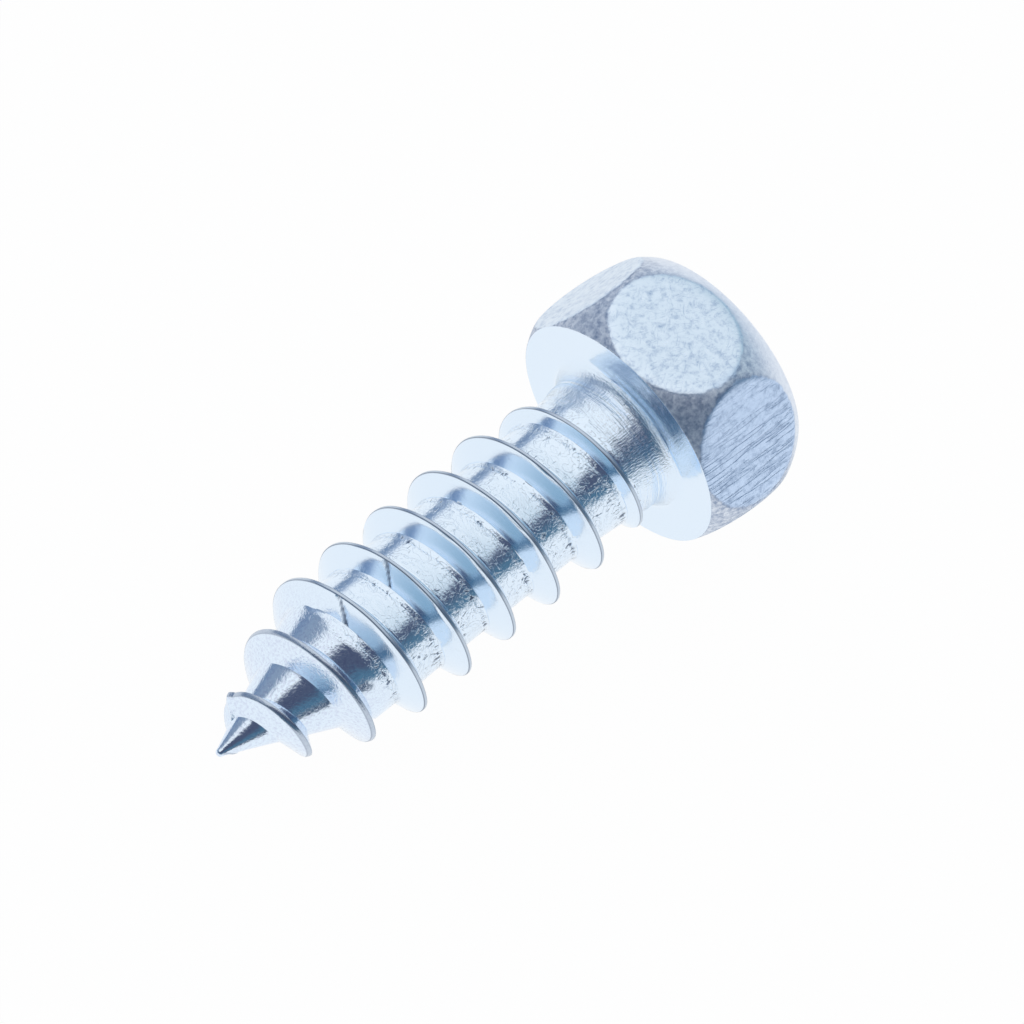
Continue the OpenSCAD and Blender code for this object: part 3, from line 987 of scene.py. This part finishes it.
def light_tent(light):
    """World that shows a light tent, drawn by direction: along X, across Y and up Z, from -1 to 1.

    It has a bright roof that gets dimmer away from the lamp, a wall with a dark gap at its foot, a dark
    open front and, near the floor, the white of the card with its dim front left corner.
    """
    world = bpy.data.worlds.new("light_tent")
    world.use_nodes = True
    tree = world.node_tree
    tree.nodes.clear()
    look = add(tree, "ShaderNodeTexCoord", output="Generated")
    along = add(tree, "ShaderNodeSeparateXYZ", inputs={"Vector": look}, output="X")
    across, up = along.node.outputs["Y"], along.node.outputs["Z"]
    # Roof, between its front and back edges
    front = add(tree, "ShaderNodeVectorMath", {"operation": "DOT_PRODUCT"}, {
        0: look, 1: edge_plane(light.front_heading, -light.roof_front)}, output="Value")
    back = add(tree, "ShaderNodeVectorMath", {"operation": "DOT_PRODUCT"}, {
        0: look, 1: edge_plane(light.back_heading, light.roof_back)}, output="Value")
    behind = add(tree, "ShaderNodeMapRange", SOFT, {"Value": front, "From Min": -0.05, "From Max": 0.05})
    under = add(tree, "ShaderNodeMapRange", SOFT, {"Value": back, "From Min": 0.06, "From Max": -0.06})
    high = add(tree, "ShaderNodeMapRange", SOFT, {"Value": up, "From Min": 0.2, "From Max": 0.45})
    roofed = add(tree, "ShaderNodeMath", TIMES, {0: behind, 1: under})
    roofed = add(tree, "ShaderNodeMath", TIMES, {0: roofed, 1: high})
    far = add(tree, "ShaderNodeVectorMath", {"operation": "DOT_PRODUCT"}, {
        0: look, 1: (math.cos(light.far_heading), math.sin(light.far_heading), 0.0)}, output="Value")
    from_lamp = add(tree, "ShaderNodeMapRange", inputs={"Value": far, "From Min": 0.18, "From Max": 0.74})
    roof = add(tree, "ShaderNodeMix", BLEND, {
        0: from_lamp, 6: linear(light.roof), 7: linear(light.roof_far)}, output=2)
    # Wall behind the screw and the open front
    toward_head = add(tree, "ShaderNodeMapRange", SOFT, {
        "Value": along, "From Min": -0.45, "From Max": 0.3})
    wall = add(tree, "ShaderNodeMix", BLEND, {
        0: toward_head, 6: linear(light.wall_dim), 7: linear(light.wall)}, output=2)
    opening_height = add(tree, "ShaderNodeMapRange", SOFT, {"Value": up, "From Min": 0.3, "From Max": 0.6})
    opening = add(tree, "ShaderNodeMix", BLEND, {
        0: opening_height, 6: linear(light.front_low), 7: linear(light.front)}, output=2)
    sides = add(tree, "ShaderNodeMix", BLEND, {0: behind, 6: opening, 7: wall}, output=2)
    cloth = add(tree, "ShaderNodeMix", BLEND, {0: roofed, 6: sides, 7: roof}, output=2)
    # Card as far as the horizon, with its dim corner
    low = add(tree, "ShaderNodeMapRange", SOFT, {"Value": up, "From Min": 0.15, "From Max": 0.07})
    colour = add(tree, "ShaderNodeMix", BLEND, {0: low, 6: cloth, 7: linear(light.floor)}, output=2)
    past_point = add(tree, "ShaderNodeMapRange", SOFT, {
        "Value": along, "From Min": -0.2, "From Max": -0.35})
    forward = add(tree, "ShaderNodeMapRange", SOFT, {
        "Value": across, "From Min": -0.35, "From Max": -0.6})
    corner = add(tree, "ShaderNodeMath", TIMES, {0: past_point, 1: forward})
    corner = add(tree, "ShaderNodeMath", TIMES, {0: corner, 1: low})
    colour = add(tree, "ShaderNodeMix", BLEND, {0: corner, 6: colour, 7: linear(light.floor_far)}, output=2)
    # Gap at the foot of the wall
    left = add(tree, "ShaderNodeMapRange", SOFT, {"Value": across, "From Min": 0.66, "From Max": 0.84})
    gap = add(tree, "ShaderNodeMapRange", SOFT, {"Value": up, "From Min": 0.42, "From Max": 0.14})
    foot = add(tree, "ShaderNodeMath", TIMES, {0: left, 1: gap})
    colour = add(tree, "ShaderNodeMix", BLEND, {0: foot, 6: colour, 7: linear(light.wall_foot)}, output=2)
    lit = add(tree, "ShaderNodeBackground", inputs={"Color": colour, "Strength": 1.0})
    add(tree, "ShaderNodeOutputWorld", inputs={"Surface": lit})
    return world


def white_card(light):
    """Matte white card. The camera sees it as white, with a faint shadow of the screw.

    The metal sees it as white near the screw and dim in its front left corner, outside the tent.
    """
    material, tree = new_material("white_card")
    place = add(tree, "ShaderNodeNewGeometry", output="Position")
    along = add(tree, "ShaderNodeSeparateXYZ", inputs={"Vector": place}, output="X")
    left = add(tree, "ShaderNodeMapRange", SOFT, {
        "Value": along, "From Min": -8.0 * MM, "From Max": -14.0 * MM})
    front = add(tree, "ShaderNodeMapRange", SOFT, {
        "Value": along.node.outputs["Y"], "From Min": -20.0 * MM, "From Max": -28.0 * MM})
    corner = add(tree, "ShaderNodeMath", TIMES, {0: left, 1: front})
    by_camera = add(tree, "ShaderNodeLightPath", output="Is Camera Ray")
    by_metal = by_camera.node.outputs["Is Glossy Ray"]
    by_glass = by_camera.node.outputs["Is Transmission Ray"]
    seen = add(tree, "ShaderNodeMath", {"operation": "MAXIMUM"}, {0: by_camera, 1: by_metal})
    seen = add(tree, "ShaderNodeMath", {"operation": "MAXIMUM"}, {0: seen, 1: by_glass})
    part = add(tree, "ShaderNodeMath", TIMES, {0: seen, 1: GLOW_SHARE})
    dim = add(tree, "ShaderNodeMath", TIMES, {0: corner, 1: by_metal})
    colour = add(tree, "ShaderNodeMix", BLEND, {
        0: dim, 6: linear(light.floor), 7: linear(light.floor_far)}, output=2)
    card = add(tree, "ShaderNodeBsdfDiffuse", inputs={"Color": linear(light.floor)})
    glow = add(tree, "ShaderNodeEmission", inputs={"Color": colour, "Strength": 1.0})
    both = add(tree, "ShaderNodeMixShader", inputs={0: part, 1: card, 2: glow})
    add(tree, "ShaderNodeOutputMaterial", inputs={"Surface": both})
    return material


class SCREW_OT_set_stage(bpy.types.Operator):
    """Set up the floor, the light tent and the camera"""

    bl_idname = "screw.set_stage"
    bl_label = "Set Stage"
    bl_options = {"REGISTER", "UNDO"}

    def execute(self, context):
        scene = context.scene
        settings = scene.tapping_screw
        self.floor(scene, settings.light)
        scene.world = light_tent(settings.light)
        scene.view_settings.view_transform = "Standard"
        self.camera(scene, settings.view)
        return {"FINISHED"}

    def floor(self, scene, light):
        """Lays the card under the screw."""
        half = light.floor_size / 2
        corners = [(-half, -half, 0), (half, -half, 0), (half, half, 0), (-half, half, 0)]
        mesh = bpy.data.meshes.new("floor")
        mesh.from_pydata(corners, [], [(0, 1, 2, 3)])
        mesh.materials.append(white_card(light))
        floor = bpy.data.objects.new("floor", mesh)
        scene.collection.objects.link(floor)

    def camera(self, scene, view):
        """Sets the camera back from the aim point along its line of sight."""
        level = math.cos(view.elevation)
        look = Vector((
            level * math.cos(view.heading), level * math.sin(view.heading), -math.sin(view.elevation)))
        right = look.cross(Vector((0.0, 0.0, 1.0))).normalized()
        up = right.cross(look)
        rolled = right * math.cos(view.roll) + up * math.sin(view.roll)
        upright = up * math.cos(view.roll) - right * math.sin(view.roll)
        turn = Matrix((rolled, upright, -look)).transposed()
        data = bpy.data.cameras.new("camera")
        data.lens = view.lens
        data.sensor_width = SENSOR_WIDTH
        data.clip_start = NEAREST
        camera = bpy.data.objects.new("camera", data)
        camera.matrix_world = Matrix.Translation(Vector(view.aim) - look * view.distance) @ turn.to_4x4()
        scene.collection.objects.link(camera)
        scene.camera = camera


class SCREW_PT_panel(bpy.types.Panel):
    """Builds the screw and its stage."""

    bl_label = "Tapping Screw"
    bl_idname = "SCREW_PT_panel"
    bl_space_type = "VIEW_3D"
    bl_region_type = "UI"
    bl_category = "Screw"

    def draw(self, context):
        for operator in (SCREW_OT_build_screw, SCREW_OT_set_stage):
            self.layout.operator(operator.bl_idname)


CLASSES = (
    HeadSizes, ShankSizes, PlatingColours, TentLight, ViewAngle, ScrewSettings,
    SCREW_OT_build_screw, SCREW_OT_set_stage, SCREW_PT_panel,
)


def register():
    """Registers the classes and gives each scene its settings."""
    for cls in CLASSES:
        bpy.utils.register_class(cls)
    bpy.types.Scene.tapping_screw = PointerProperty(type=ScrewSettings)


def unregister():
    """Takes the settings and the classes away again."""
    del bpy.types.Scene.tapping_screw
    for cls in reversed(CLASSES):
        bpy.utils.unregister_class(cls)


def main():
    """Builds the screw and its stage."""
    register()
    bpy.ops.screw.build_screw()
    bpy.ops.screw.set_stage()


if __name__ == "__main__":
    main()
